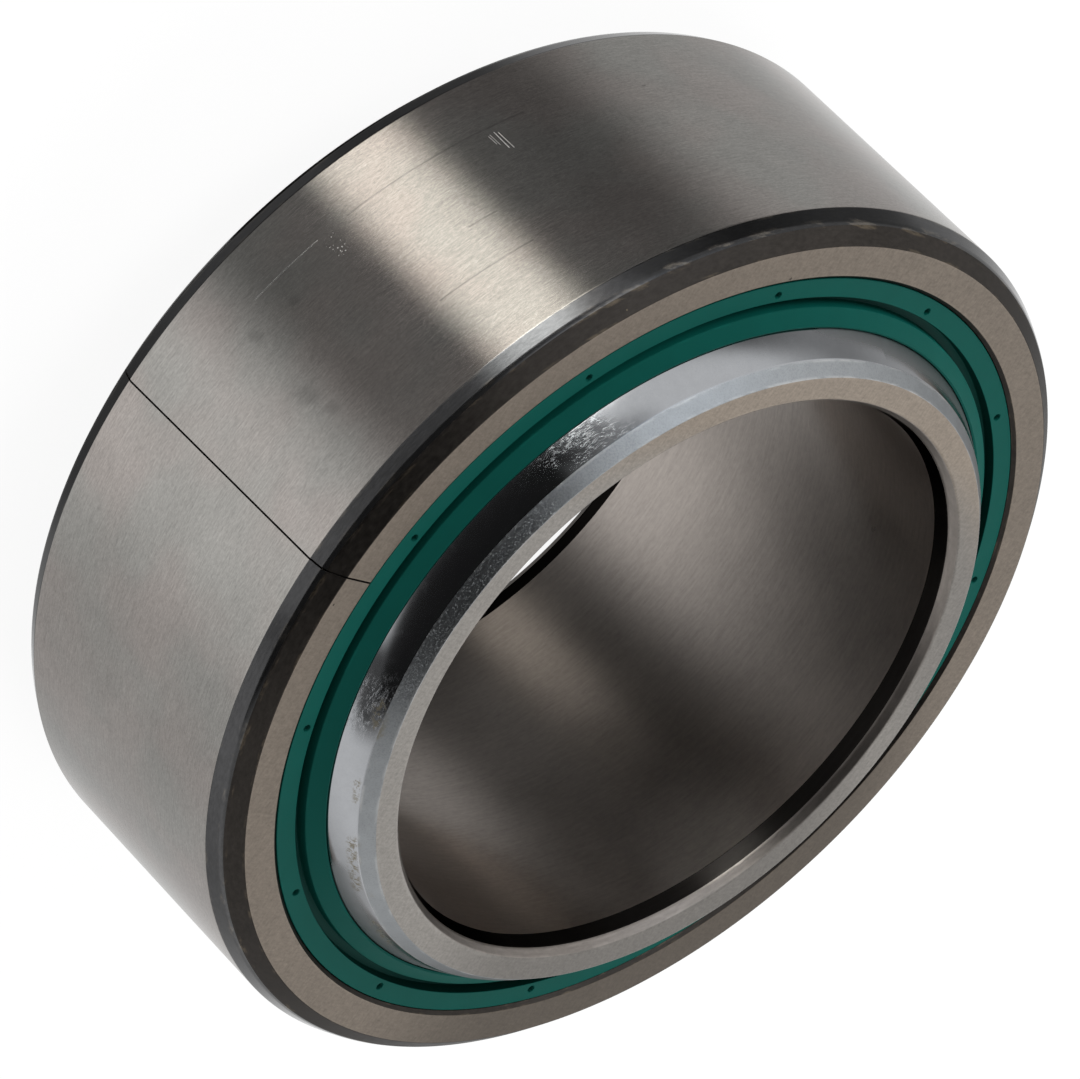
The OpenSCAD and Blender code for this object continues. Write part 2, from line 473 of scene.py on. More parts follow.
def soft_panel_group():
    """Panel of the studio by direction: one within its half width and half height, blurred at its edges."""
    n, given, out = new_group("soft_panel", ["Turn", "Rise", "Azimuth", "Elevation", "Half width",
                                             "Half height", "Side blur", "End blur"], ["Mask"])
    apart = n.calc("SUBTRACT", given["Turn"], given["Azimuth"])
    side = n.calc("ABSOLUTE", n.calc("WRAP", apart, math.pi, -math.pi))
    rise = n.calc("ABSOLUTE", n.calc("SUBTRACT", given["Rise"], given["Elevation"]))
    masks = []
    for away, half, blur in ((side, "Half width", "Side blur"), (rise, "Half height", "End blur")):
        low = n.calc("ADD", given[half], given[blur])
        high = n.calc("SUBTRACT", given[half], given[blur])
        masks.append(n.ramp(away, low, high))
    n.supply(out["Mask"], n.times(*masks))


def make_groups():
    """All shared effects, once."""
    for build in (surface_places_group, grinding_grain_group, specks_group, stroke_group, edge_wear_group,
                  soft_panel_group):
        if build.__name__.removesuffix("_group") not in bpy.data.node_groups:
            build()


# Materials

def rgba(three, factor=1.0):
    """A colour property as four numbers, times a factor."""
    return (*[factor * c for c in three], 1.0)


class Finish(Nodes):
    """A material with a Principled shader, and the places, patterns and masks that the finishes share."""

    def __init__(self, name, metallic=1.0):
        self.material = bpy.data.materials.new(name)
        super().__init__(bare_tree(self.material))
        shader = self.add("BsdfPrincipled", {"Metallic": metallic})[0]
        self.add("OutputMaterial", {0: shader})
        self.inputs = shader.node.inputs
        places = self.use("surface_places")
        self.place, self.unrolled = places["Place"], places["Unrolled"]

    def finish(self, base, rough, height, depth, more=None):
        """The material, its shader fed with a colour, a roughness, a height times its depth, and more."""
        relief = self.add("Bump", {"Height": height, "Distance": depth, "Strength": 1.0})[0]
        feeds = {"Base Color": base, "Roughness": rough, "Normal": relief, **(more or {})}
        for name, value in feeds.items():
            self.supply(self.inputs[name], value)
        return self.material

    def along_axis(self, anisotropic):
        """Feeds for reflections that are drawn out along the axis, across the grinding lines."""
        turned = self.add("VectorTransform", {0: AXIAL}, vector_type="VECTOR",
                          convert_from="OBJECT", convert_to="WORLD")[0]
        return {"Anisotropic": anisotropic, "Tangent": turned}

    def grain(self, fineness, drawing):
        """Streak, hair and mottle of ground steel."""
        return self.use("grinding_grain", place=self.place, fineness=fineness, drawing=drawing)

    def lines(self, grain, hair):
        """Grinding lines: hair and streak, by the share of the hair."""
        return self.line(grain["Hair"], hair, self.times(grain["Streak"], 1 - hair))

    def tone(self, base, *shifts):
        """A colour times one plus the sum of (value - half) times its strength, for each shift."""
        total = 1.0
        for value, strength in shifts:
            total = self.line(self.calc("SUBTRACT", value, 0.5), strength, total)
        return self.vector("SCALE", tuple(base)[:3], total)

    def blend(self, base, mask, strength, other):
        """A colour that goes over to another by a mask times its strength."""
        return self.mix(self.times(mask, strength), base, other)

    def specks(self, place, spacing, radius, share):
        """Mask of small spots, with their spacing and radius in mm."""
        return self.use("specks", place=place, spacing=spacing, radius=radius, share=share)["Mask"]

    def wear(self, amount):
        """Mask of rubbed edges, in patches that are drawn out round the axis."""
        share = self.add("Attribute", attribute_name="edge_share")["Fac"]
        place = self.vector("MULTIPLY", self.unrolled, (0.5, 1.4, 1.4))
        return self.use("edge_wear", place=place, edge_share=share, amount=amount)["Mask"]

    def strokes(self, marks, radius):
        """Greatest of several strokes, each given by its two ends (degrees, mm), half width and blur (mm)."""
        total = None
        for *ends, half_width, blur in marks:
            start, end = ((math.radians(a) * radius, z, radius) for a, z in ends)
            mask = self.use("stroke", place=self.unrolled, start=start, end=end,
                            half_width=half_width, blur=blur)["Mask"]
            total = mask if total is None else self.most(total, mask)
        return total


# Marks: (angle, height) of both ends in degrees and mm, half width and blur in mm
BRIGHT_SCRATCHES = [
    ((-137.93, -4.5), (-137.96, -2.95), 0.012, 0.02),
    ((-137.55, -4.65), (-137.52, -3.1), 0.014, 0.02),
    ((-136.95, -4.6), (-137.0, -3.6), 0.004, 0.02),
    ((-136.7, -4.55), (-136.75, -3.75), 0.004, 0.02),
    ((-114.7, -5.42), (-105.5, -5.48), 0.005, 0.05),
]
BRIGHT_GLINTS = [((-115.9, -4.7), (-115.6, -3.7), 0.2, 0.5)]
DARK_HAIRLINES = [
    ((-142.0, -5.1), (-119.0, -5.42), 0.02, 0.08),
    ((-131.5, 3.8), (-119.5, 3.55), 0.02, 0.07),
    ((-131.0, 0.6), (-127.5, 0.5), 0.02, 0.08),
]
DARK_SMUDGES = [
    ((-102.1, 1.7), (-102.5, 2.2), 0.15, 0.7),
    ((-103.1, 3.7), (-103.3, 3.9), 0.1, 0.5),
    ((-102.6, -3.8), (-102.9, -3.5), 0.1, 0.5),
    ((-108.2, -3.4), (-108.5, -3.3), 0.05, 0.4),
]
# Painted shade on a stretch of the upper lead-in
LEAD_IN_PAINTED_SHADE = [((-172.0, 9.6), (-140.0, 9.6), 1.0, 3.0)]
# Marks of the ball and its bevel: residue, frost, painted shade beneath the frost where the ball faces the
# strip lamp, and a darker, rougher band beside the lip
RESIDUE = [
    ((-48.0, 12.9), (-37.0, 12.75), 0.12, 0.4),
    ((-36.0, 13.2), (-33.0, 13.4), 0.06, 0.3),
    ((-74.0, 12.8), (-70.0, 13.1), 0.1, 0.5),
    ((-60.0, 12.9), (-56.0, 13.0), 0.05, 0.3),
    ((-27.0, 12.8), (-20.0, 12.6), 0.08, 0.5),
]
FROSTED_PATCHES = [
    ((-126.0, 12.4), (-121.0, 12.6), 0.2, 2.4),
    ((-76.0, 12.4), (-71.0, 12.6), 0.2, 2.2),
]
FROST_PAINTED_SHADE = [((-127.0, 11.6), (-121.0, 12.0), 0.3, 1.3)]
DULL_TRACK = [
    ((-40.0, 11.4), (-2.0, 12.0), 0.5, 1.2),
    ((140.0, 12.0), (190.0, 11.6), 0.4, 1.0),
    ((-190.0, 11.6), (-172.0, 11.2), 0.4, 1.0),
]
# Heights at which the marks of the ball and of its bevel are unrolled, in mm
BALL_MARKS_Z = 12.6
BEVEL_MARKS_Z = 13.5
# Painted shade on stretches of the flat faces: radius in mm, strength, then marks, which shade less from
# beside a face
SIDE_PAINTED_SHADE = (28.4, 0.55, ((22.0, 11.0), (66.0, 11.0), 2.0, 14.0))
END_PAINTED_SHADE = (21.4, 0.42, ((14.0, 14.0), (58.0, 14.0), 2.0, 12.0), ((108.0, 21.0), (118.0, 21.0), 2.0, 12.0))
# Warm stretch of the end face: radius in mm, tint, then marks, which part where the angle starts again
WARM_END = (21.4, (1.03, 0.93, 0.83), ((158.0, 14.0), (190.0, 14.0), 2.0, 12.0),
            ((-190.0, 14.0), (-150.0, 14.0), 2.0, 12.0))

# Tints of the outside surface's warm and cool clouds
WARM_CLOUD = (1.03, 0.992, 0.975, 1.0)
COOL_CLOUD = (0.975, 1.0, 0.987, 1.0)
# Feeds that keep a finish dark at grazing angles, where bare steel would brighten
GRAZING_DARK = {"Specular Tint": (0.6, 0.6, 0.6, 1.0)}
GRAZING_BLACK = {"Specular Tint": (0.15, 0.15, 0.15, 1.0)}
# Colours of marks and rubbed places
BARE_SCRATCH = (0.95, 0.93, 0.9, 1.0)
RUBBED_LEAD_IN = (0.3, 0.265, 0.22, 1.0)
RUBBED_CORNER = (0.24, 0.19, 0.13, 1.0)
RUBBED_BEVEL = (0.8, 0.79, 0.77, 1.0)
PIN_HOLE = (0.02, 0.02, 0.02, 1.0)
DUST = (0.2, 0.22, 0.2, 1.0)
# Width of one thread of the liner, in mm
THREAD = 0.55


def ground_outside(colours):
    """Ground outside surface: fine lines round the axis, mottle, smudges, hairlines and a few scratches."""
    f = Finish("ground_outside")
    radius = OUTER_R / MM
    grain = f.grain(fineness=10.0, drawing=2.4)
    lines = f.lines(grain, hair=0.45)
    base = f.tone(colours.outside, (lines, 1.15), (grain["Mottle"], 0.3))
    cloud = f.ramp(f.noise(f.place, 0.13, 2.0, 0.5), 0.35, 0.65)
    base = f.vector("MULTIPLY", base, f.mix(cloud, WARM_CLOUD, COOL_CLOUD))
    smudge = f.times(f.strokes(DARK_SMUDGES, radius), 0.22)
    hairline = f.times(f.strokes(DARK_HAIRLINES, radius), f.ramp(grain["Hair"], 0.3, 0.6))
    dirt = f.specks(f.vector("MULTIPLY", f.place, (1.0, 1.0, 2.2)), spacing=2.6, radius=0.16, share=0.08)
    dark = f.most(smudge, f.times(f.most(hairline, dirt), 0.42))
    base = f.mix(dark, base, rgba(colours.outside, 0.16))
    glint = f.times(f.strokes(BRIGHT_GLINTS, radius), f.specks(f.place, spacing=0.2, radius=0.05, share=0.5))
    bright = f.most(f.strokes(BRIGHT_SCRATCHES, radius), glint)
    base = f.blend(base, bright, 0.8, BARE_SCRATCH)
    rough = f.calc("ADD", f.line(grain["Mottle"], 0.06, 0.15), f.times(bright, 0.35), clamp=True)
    return f.finish(base, rough, lines, 0.0005 * MM, f.along_axis(0.97))


def blackened_lead_in(colours):
    """Lead-in facet of bare steel, painted dark grey to stand in for the dark room that it mirrors, with fine
    lines, a stretch of painted shade and rubbed silver at its edges.
    """
    f = Finish("blackened_lead_in", metallic=0.8)
    grain = f.grain(fineness=5.0, drawing=4.0)
    base = f.tone(colours.lead_in, (grain["Streak"], 0.8), (grain["Mottle"], 0.3))
    # A stretch of painted shade on the lead-in
    base = f.blend(base, f.strokes(LEAD_IN_PAINTED_SHADE, OUTER_R / MM), 0.6, rgba(colours.lead_in, 0.1))
    base = f.blend(base, f.wear(0.43), 0.34, RUBBED_LEAD_IN)
    return f.finish(base, f.line(grain["Mottle"], 0.08, 0.09), grain["Streak"], 0.001 * MM)


def blackened_corner(colours):
    """Blackened corner facet: nearly black, with specks and rubbed edges."""
    f = Finish("blackened_corner", metallic=0.9)
    grain = f.grain(fineness=5.0, drawing=3.0)
    base = f.tone(colours.corner, (grain["Streak"], 1.0), (grain["Mottle"], 0.6))
    specks = f.specks(f.place, spacing=1.3, radius=0.06, share=0.12)
    base = f.mix(f.most(f.times(f.wear(0.43), 0.36), f.times(specks, 0.4)), base, RUBBED_CORNER)
    return f.finish(base, f.line(grain["Streak"], 0.2, 0.28), grain["Streak"], 0.002 * MM, GRAZING_DARK)


def ground_face(name, base_colour, roughness, speck_share, shade_marks=None, warm=None):
    """Ground flat face: matt, with crossing fine lines, dark specks, and perhaps stretches of painted shade
    and warm stretches.
    """
    f = Finish(name)
    crossing = [f.noise(f.vector("MULTIPLY", f.place, way), 1.0, 3.0, 0.6)
                for way in ((6.0, 1.3, 1.0), (1.3, 6.0, 1.0))]
    lines = f.times(f.calc("ADD", *crossing), 0.5)
    grit, mottle = f.noise(f.place, 4.5, 3.0, 0.7), f.noise(f.place, 0.35, 3.0, 0.55)
    base = f.tone(base_colour, (lines, 0.9), (grit, 0.7), (mottle, 0.14))
    specks = f.specks(f.place, spacing=1.6, radius=0.09, share=speck_share)
    base = f.blend(base, specks, 0.75, rgba(base_colour, 0.12))
    base = f.blend(base, f.wear(0.5), 0.35, rgba(base_colour, 1.35))
    # Painted shade over the stretches that the marks give
    if shade_marks:
        radius, strength, *marks = shade_marks
        base = f.blend(base, f.strokes(marks, radius), strength, rgba(base_colour, 0.2))
    if warm:
        radius, tint, *marks = warm
        base = f.mix(f.strokes(marks, radius), base, f.vector("MULTIPLY", base, tint))
    return f.finish(base, f.line(lines, 0.12, roughness - 0.06), lines, 0.002 * MM)


def ball_radius(z):
    """Radius of the ball at a height, both in mm."""
    return BALL_R * math.cos(math.asin(z * MM / BALL_R)) / MM


def plated_ball(colours):
    """Hard plated ball: bright and smooth, with frosted patches, pin holes and yellow-brown residue."""
    f = Finish("plated_ball")
    radius = ball_radius(BALL_MARKS_Z)
    cloud, grit = f.noise(f.place, 1.4, 4.0, 0.6), f.noise(f.place, 9.0, 2.0, 0.6)
    scrape = f.noise(f.vector("MULTIPLY", f.unrolled, (1.6, 5.0, 0.0)), 1.3, 5.0, 0.72)
    frost = f.times(f.strokes(FROSTED_PATCHES, radius), f.ramp(scrape, 0.45, 0.66))
    frost = f.times(frost, f.ramp(cloud, 0.34, 0.56))
    haze = f.times(f.ramp(cloud, 0.52, 0.75), 0.15)
    base = f.tone(colours.plating, (cloud, 0.14), (grit, 0.1))
    # Painted shade beneath the frost, where the ball faces the strip lamp
    base = f.blend(base, f.strokes(FROST_PAINTED_SHADE, radius), 0.75, rgba(colours.plating, 0.2))
    base = f.blend(base, f.specks(f.place, spacing=1.9, radius=0.1, share=0.12), 0.85, PIN_HOLE)
    stain = f.times(f.strokes(RESIDUE, radius), f.ramp(f.noise(f.place, 3.2, 4.0, 0.7), 0.45, 0.6))
    base = f.blend(base, stain, 0.75, rgba(colours.stain))
    # A darker, rougher band on the ball beside the lip
    track = f.strokes(DULL_TRACK, radius)
    base = f.blend(base, track, 0.3, rgba(colours.plating, 0.3))
    rough = f.line(track, 0.3, f.line(f.most(frost, f.most(haze, stain)), 0.14, 0.09))
    height = f.times(grit, f.calc("ADD", frost, 0.03))
    return f.finish(base, rough, height, 0.003 * MM, {"Metallic": f.line(stain, -0.6, 1.0)})


def frosted_bevel(colours):
    """Bevel beside the ball: plated but not polished, so grainy and matt."""
    f = Finish("frosted_bevel")
    grit, cloud = f.noise(f.place, 9.0, 3.0, 0.65), f.noise(f.place, 0.9, 3.0, 0.6)
    base = f.tone(colours.bevel, (grit, 0.8), (cloud, 0.3))
    stain = f.times(f.strokes(RESIDUE, ball_radius(BEVEL_MARKS_Z)), f.ramp(cloud, 0.45, 0.62))
    base = f.blend(base, stain, 0.6, rgba(colours.stain))
    base = f.blend(base, f.wear(0.5), 0.28, RUBBED_BEVEL)
    return f.finish(base, f.ramp(grit, 0.5, 0.68, 0.32, 0.55), grit, 0.007 * MM, GRAZING_DARK)


def ground_bore(name, base_colour, roughness, grazing=None):
    """Ground bore: dark, with fine lines round the axis and cloudy reflections."""
    f = Finish(name)
    grain = f.grain(fineness=6.0, drawing=2.2)
    lines = f.lines(grain, hair=0.5)
    base = f.tone(base_colour, (lines, 0.7), (grain["Mottle"], 0.3))
    base = f.blend(base, f.wear(0.5), 0.3, rgba(base_colour, 1.6))
    rough = f.line(grain["Mottle"], 0.1, roughness - 0.05)
    return f.finish(base, rough, lines, 0.003 * MM, {**f.along_axis(0.6), **(grazing or {})})


def moulded_green(name, base_colour, factor=1.0):
    """Moulded green seal: matt, faintly mottled, with a fine moulded skin and paler rubbed edges; a factor
    below one darkens the colour as painted shade.
    """
    f = Finish(name, metallic=0.0)
    mottle, skin = f.noise(f.place, 0.5, 3.0, 0.6), f.noise(f.place, 14.0, 2.0, 0.6)
    base = f.tone(rgba(base_colour, factor), (mottle, 0.2), (skin, 0.16))
    base = f.blend(base, f.wear(0.42), 0.25, rgba(base_colour, 1.9 * factor))
    base = f.blend(base, f.specks(f.place, spacing=1.5, radius=0.035, share=0.2), 0.35, DUST)
    return f.finish(base, f.line(skin, 0.16, 0.46), skin, 0.004 * MM, {"Specular IOR Level": 0.08})


def woven_liner(colours):
    """Resin-bonded woven liner: crossing threads round the axis and along it."""
    f = Finish("woven_liner", metallic=0.0)
    around, height, _ = f.add("SeparateXYZ", {0: f.unrolled})
    waves = [f.calc("SINE", f.times(way, FULL_TURN / THREAD)) for way in (around, height)]
    weave = f.line(f.times(*waves), 0.5, 0.5)
    fibre = f.noise(f.place, 9.0, 3.0, 0.6)
    base = f.tone(colours.liner, (weave, 0.5), (fibre, 0.4))
    return f.finish(base, f.line(fibre, 0.2, 0.5), weave, 0.03 * MM)


def fracture_face(colours):
    """Broken steel inside the fracture: dark and coarse."""
    f = Finish("fracture_face", metallic=0.8)
    grit = f.noise(f.place, 5.0, 4.0, 0.7)
    return f.finish(f.tone(colours.corner, (grit, 1.2)), f.line(grit, 0.2, 0.5), grit, 0.04 * MM)


# Pieces

# Cells round the axis
RING_STEPS = 384
# How far the rounding of an edge reaches along its flats
CRISP_EDGE = 0.03 * MM
FINE_EDGE = 0.05 * MM
EVEN_EDGE = 0.06 * MM
SOFT_EDGE = 0.08 * MM
MOUTH_EDGE = 0.14 * MM
BORE_LEAD_EDGE = 0.15 * MM
BLACKENED_EDGE = 0.26 * MM


def seal_sizes(s):
    """Radii and heights of the seal: the lip's tip stands on the ball, and the rest follows out and down."""
    d = SimpleNamespace(ball_r=BALL_R + s.fit_gap, tip_z=SIDE_Z + s.lip_rise, rim_z=SIDE_Z - s.rim_recess)
    d.tip_r = math.sqrt((d.ball_r + s.lip_t) ** 2 - d.tip_z ** 2)
    d.root_r = d.tip_r + s.lip_reach
    d.groove_r = d.root_r + s.groove_w
    d.rim_r = d.groove_r + s.rim_w
    d.bead_r = d.rim_r + s.bead_depth
    d.pit_r = d.groove_r + s.pit_inset
    d.groove_z = d.rim_z - s.groove_depth
    d.foot_z = d.rim_z - s.seal_h
    d.bead_z = d.foot_z + s.bead_h
    d.flank_z = d.bead_z + s.flank_h
    return d


def outer_ring_profile(s):
    """Outer ring: outside, lead-in and corner facets, side face, seat bevel, seat, undercut and socket."""
    d = seal_sizes(s)
    lead_z = SIDE_Z - s.corner_length
    seat_r = d.rim_r + s.fit_gap
    undercut_r = d.bead_r + s.fit_gap
    seat_z = d.foot_z - s.fit_gap
    socket = arc(BALL_R + s.liner_t, seat_z, 0.0, steps=8)
    seat = ((seat_r, SIDE_Z - s.mouth_bevel), (seat_r, d.flank_z + s.fit_gap),
            (undercut_r, d.bead_z + s.fit_gap), (undercut_r, seat_z), socket[0])
    p = Profile()
    p.corners(
        (OUTER_R, lead_z - s.lead_length, SOFT_EDGE, "blackened_lead_in"),
        (OUTER_R - s.lead_depth, lead_z, BLACKENED_EDGE, "blackened_corner"),
        (OUTER_R - s.lead_depth - s.corner_depth, SIDE_Z, EVEN_EDGE, "ground_side"),
        (seat_r + s.mouth_bevel, SIDE_Z, FINE_EDGE, "blackened_corner"),
        *[(r, z, CRISP_EDGE, "ground_seat") for r, z in seat])
    p.smooth(socket[1:-1], "ground_seat")
    return p.mirror("ground_outside")


def inner_ring_profile(s):
    """Inner ring: ball, end bevel, end face, two-facet bore mouth and bore."""
    bevel_z = INNER_END - s.end_bevel_length
    bevel_r = math.sqrt(BALL_R ** 2 - bevel_z ** 2)
    mouth_r = BORE_R + s.bore_lead_depth
    p = Profile()
    p.smooth(arc(BALL_R, 0.0, bevel_z, steps=24)[1:-1], "plated_ball")
    p.corners(
        (bevel_r, bevel_z, SOFT_EDGE, "frosted_bevel"),
        (bevel_r - s.end_bevel_depth, INNER_END, FINE_EDGE, "ground_end"),
        (mouth_r + s.mouth_depth, INNER_END, MOUTH_EDGE, "bore_mouth"),
        (mouth_r, INNER_END - s.mouth_length, BORE_LEAD_EDGE, "bore_lead"),
        (BORE_R, INNER_END - s.mouth_length - s.bore_lead_length, FINE_EDGE, "ground_bore"))
    return p.mirror("plated_ball")


# Fine grid round each moulding pit: its margin past the pit's edge, its lines each way, and how far the even
# grid keeps from the pit's middle, in half widths of the fine grid
PIT_MARGIN = 0.08 * MM
PIT_LINES = 15
PIT_CLEARANCE = 1.2
# Width of a pit's rounded wall
PIT_WALL = 0.07 * MM


def seal_profile(s):
    """Lip seal: rim, groove, lip, two sliding edges with a hollow between them, foot, bead and flank."""
    d = seal_sizes(s)
    # The groove's finish is the green darkened to paint the shade in the groove
    green, dark = "moulded_green", "dark_groove"
    lip = np.array([d.tip_r, d.tip_z])
    under = lip * d.ball_r / np.linalg.norm(lip)
    hollow_z = d.foot_z + s.inner_edge_h
    hollow_top = hollow_z + s.relief_h
    reach = 0.5 * s.pit_d + PIT_MARGIN
    pit_radii = np.linspace(d.pit_r + reach, d.pit_r - reach, PIT_LINES)
    p = Profile()
    p.corners(
        (d.rim_r, d.rim_z, EVEN_EDGE, green),
        *[(r, d.rim_z, 0.0, green) for r in pit_radii],
        (d.groove_r, d.rim_z, FINE_EDGE, dark),
        (d.groove_r - s.groove_draft, d.groove_z, SOFT_EDGE, dark),
        (d.root_r + s.groove_draft, d.groove_z, SOFT_EDGE, green),
        (d.root_r, d.rim_z, EVEN_EDGE, green),
        (d.tip_r, d.tip_z, CRISP_EDGE, green))
    upper_edge = np.vstack([under, arc(d.ball_r, under[1], hollow_top, steps=6)[1:]])
    hollow = arc(d.ball_r + s.relief_t, hollow_top, hollow_z, steps=5)
    lower_edge = arc(d.ball_r, hollow_z, d.foot_z, steps=3)
    for points in (upper_edge, hollow, lower_edge):
        p.curve(points, CRISP_EDGE, green)
    p.corners(
        (d.bead_r, d.foot_z, CRISP_EDGE, green),
        (d.bead_r, d.bead_z, FINE_EDGE, green),
        (d.rim_r, d.flank_z, FINE_EDGE, green))
    return p


# Course of the fracture, sideways in mm: offset, slope and bow by height
FRACTURE_COURSE = (0.2, -0.0165, -0.0007)
# Its step over the corner: size, radius where it starts, its length inwards, height above which it lies
FRACTURE_STEP = (-0.2, 30.3, 0.8, 9.0)
# Its waver: size, turn for each mm of height, and start
FRACTURE_WAVES = ((0.022, 2.7, 0.0), (0.012, 7.1, 1.0))


def fracture_offset(r, z):
    """Sideways place of the fracture: a slope and bow in height, a step over the corner, and a waver."""
    h = z / MM
    course = sum(factor * h ** power for power, factor in enumerate(FRACTURE_COURSE))
    size, outer, inwards, above = FRACTURE_STEP
    step = size * np.clip((outer - r / MM) / inwards, 0, 1) * (h > above)
    waver = sum(wave * np.sin(turn * h + start) for wave, turn, start in FRACTURE_WAVES)
    return (course + step + waver) * MM


def build_outer_ring(s, colours):
    """Outer ring: its profile carried round the axis from one side of the fracture to the other."""
    place, normal, share, finishes = outer_ring_profile(s).points()
    r, z = place.T
    middle = fracture_offset(r, z)
    start = s.fracture_turn + (middle + s.fracture_w / 2) / r
    end = s.fracture_turn + FULL_TURN + (middle - s.fracture_w / 2) / r
    theta = start[:, None] + np.linspace(0, 1, RING_STEPS + 1) * (end - start)[:, None]
    grid, normals = revolve(place, normal, theta)
    materials = [
        ground_outside(colours),
        blackened_lead_in(colours),
        blackened_corner(colours),
        ground_face("ground_side", colours.side, roughness=0.4, speck_share=0.05, shade_marks=SIDE_PAINTED_SHADE),
        ground_face("ground_seat", colours.side, roughness=0.45, speck_share=0.1),
        fracture_face(colours),
    ]
    return ring_mesh("steel_outer_ring", grid, normals, share, finishes, materials, gap=True)


def build_inner_ring(s, colours):
    """Inner ring: its profile carried once round the axis."""
    place, normal, share, finishes = inner_ring_profile(s).points()
    grid, normals = revolve(place, normal, np.linspace(0, FULL_TURN, RING_STEPS, endpoint=False))
    materials = [
        plated_ball(colours),
        frosted_bevel(colours),
        ground_face("ground_end", colours.end_face, 0.4, speck_share=0.03, shade_marks=END_PAINTED_SHADE, warm=WARM_END),
        ground_bore("bore_mouth", colours.mouth, roughness=0.35),
        ground_bore("bore_lead", colours.bore_lead, roughness=0.3, grazing=GRAZING_BLACK),
        ground_bore("ground_bore", colours.bore, roughness=0.3),
    ]
    return ring_mesh("steel_inner_ring", grid, normals, share, finishes, materials)


def turn_between(theta, others):
    """Turn from each of some other angles to each angle, between minus and plus half a turn."""
    return (theta[:, None] - others + math.pi) % FULL_TURN - math.pi


def build_seal(s, name, materials, upper):
    """Seal: its profile carried round the axis, with the rim pressed down at the pits.

    The depth at distance q from a pit's centre is a smooth step from full depth to nothing at its edge.
    """
    d = seal_sizes(s)
    place, normal, share, finishes = seal_profile(s).points()
    pits = s.fracture_turn + s.pit_turn + np.arange(s.pit_count) * FULL_TURN / s.pit_count
    close = np.linspace(-1, 1, PIT_LINES) * (0.5 * s.pit_d + PIT_MARGIN) / d.pit_r
    even = np.linspace(0, FULL_TURN, RING_STEPS, endpoint=False)
    even = even[np.abs(turn_between(even, pits)).min(1) > close.max() * PIT_CLEARANCE]
    theta = np.sort(np.concatenate([even, (pits[:, None] + close).ravel() % FULL_TURN]))
    grid, normals = revolve(place, normal, theta)
    turn = turn_between(theta, pits)
    turn = turn[np.arange(len(theta)), np.abs(turn).argmin(1)]
    on_rim = np.isclose(place[:, 1], d.rim_z) & (place[:, 0] > d.groove_r) & (share == 0)
    across = (place[:, 0] - d.pit_r)[:, None]
    around = d.pit_r * turn[None]
    q = np.hypot(across, around)
    u = np.clip((0.5 * s.pit_d - q) / PIT_WALL, 0, 1) * on_rim[:, None]
    grid[..., 2] -= s.pit_depth * u * u * (3 - 2 * u)
    slope = s.pit_depth * 6 * u * (1 - u) / PIT_WALL
    safe = np.where(q > 0, q, 1)
    ways = np.stack([np.cos(theta), np.sin(theta), 0 * theta], -1)
    sides = np.stack([-np.sin(theta), np.cos(theta), 0 * theta], -1)
    normals -= (slope * across / safe)[..., None] * ways + (slope * around / safe)[..., None] * sides
    normals /= np.linalg.norm(normals, axis=-1, keepdims=True)
    if not upper:
        grid, normals = grid[::-1] * (1, 1, -1), normals[::-1] * (1, 1, -1)
        share, finishes = share[::-1], finishes[::-1]
    return ring_mesh(name, grid, normals, share, finishes, materials)


# Stage

# Dark flags: azimuth, elevation, half width, half height, side blur and end blur in degrees, and depth
STUDIO_FLAGS = {
    "camera_side": (-84.5, 49.0, 49.0, 35.8, 9.0, 1.0, 0.985),
    "camera_right": (-143.0, 28.0, 14.0, 9.0, 7.0, 3.0, 0.7),
    "camera_low": (-47.0, 11.2, 13.0, 2.3, 5.0, 0.8, 0.9),
    "round_strip": (-146.0, -35.0, 52.0, 42.0, 14.0, 3.0, 0.78),
    "far_right": (148.0, -35.0, 50.0, 42.0, 22.0, 5.0, 0.45),
    "right_low": (170.0, -3.0, 38.0, 8.0, 10.0, 4.0, 0.35),
    "left_low": (5.0, -40.0, 45.0, 38.0, 20.0, 6.0, 0.38),
    "left_high": (5.0, 34.0, 48.0, 20.0, 16.0, 8.0, 0.34),
    "left_floor": (42.0, -53.0, 30.0, 9.0, 14.0, 5.0, 0.45),
    "below": (0.0, -80.0, 181.0, 22.0, 1.0, 5.0, 0.72),
}
# Strip lamps and window that the metal mirrors: the same angles, and the colour of the light
STUDIO_STRIPS = {
    "strip_lamp": (-141.4, -17.0, 10.4, 29.0, 5.8, 2.0, (1.85, 1.75, 1.6)),
    "strip_head": (-136.9, 5.0, 9.4, 8.1, 6.0, 0.5, (7.4, 7.6, 7.4)),
    "right_window": (-172.0, 42.0, 24.0, 16.0, 12.0, 10.0, (0.42, 0.48, 0.56)),
}
# Light that matt surfaces get from all round
AMBIENT = (0.34, 0.34, 0.34, 1.0)
# Broad lamps for matt surfaces: place and size in metres, and share of the lamps' power
LAMPS = {
    "back_lamp": ((0.201, 0.348, 0.45), 0.45, 0.66),
    "right_lamp": ((-0.522, 0.092, 0.282), 0.30, 0.55),
}
# Half the floor's side in metres, and the gap that keeps it clear of the end face that stands on it
FLOOR_HALF = 1.5
FLOOR_GAP = 0.02 * MM
# Light that reaches the bore from below: place of its middle, inner and outer radius in mm, its narrowing
# across, and the levels far from it and in it
BORE_LIGHT = (0.0, 15.0, 2.0, 33.0)
BORE_NARROWING = 1.8
BORE_LEVELS = (0.05, 1.0)
# Flag under the bore: radius, depths of its edges below the bearing, its ends in degrees, lines and colour
FLAG_R = 25 * MM
FLAG_DEPTHS = (0.5 * MM, 26 * MM)
FLAG_ENDS = (-172, -108)
FLAG_LINES = 33
FLAG_COLOUR = (0.02, 0.02, 0.02, 1.0)
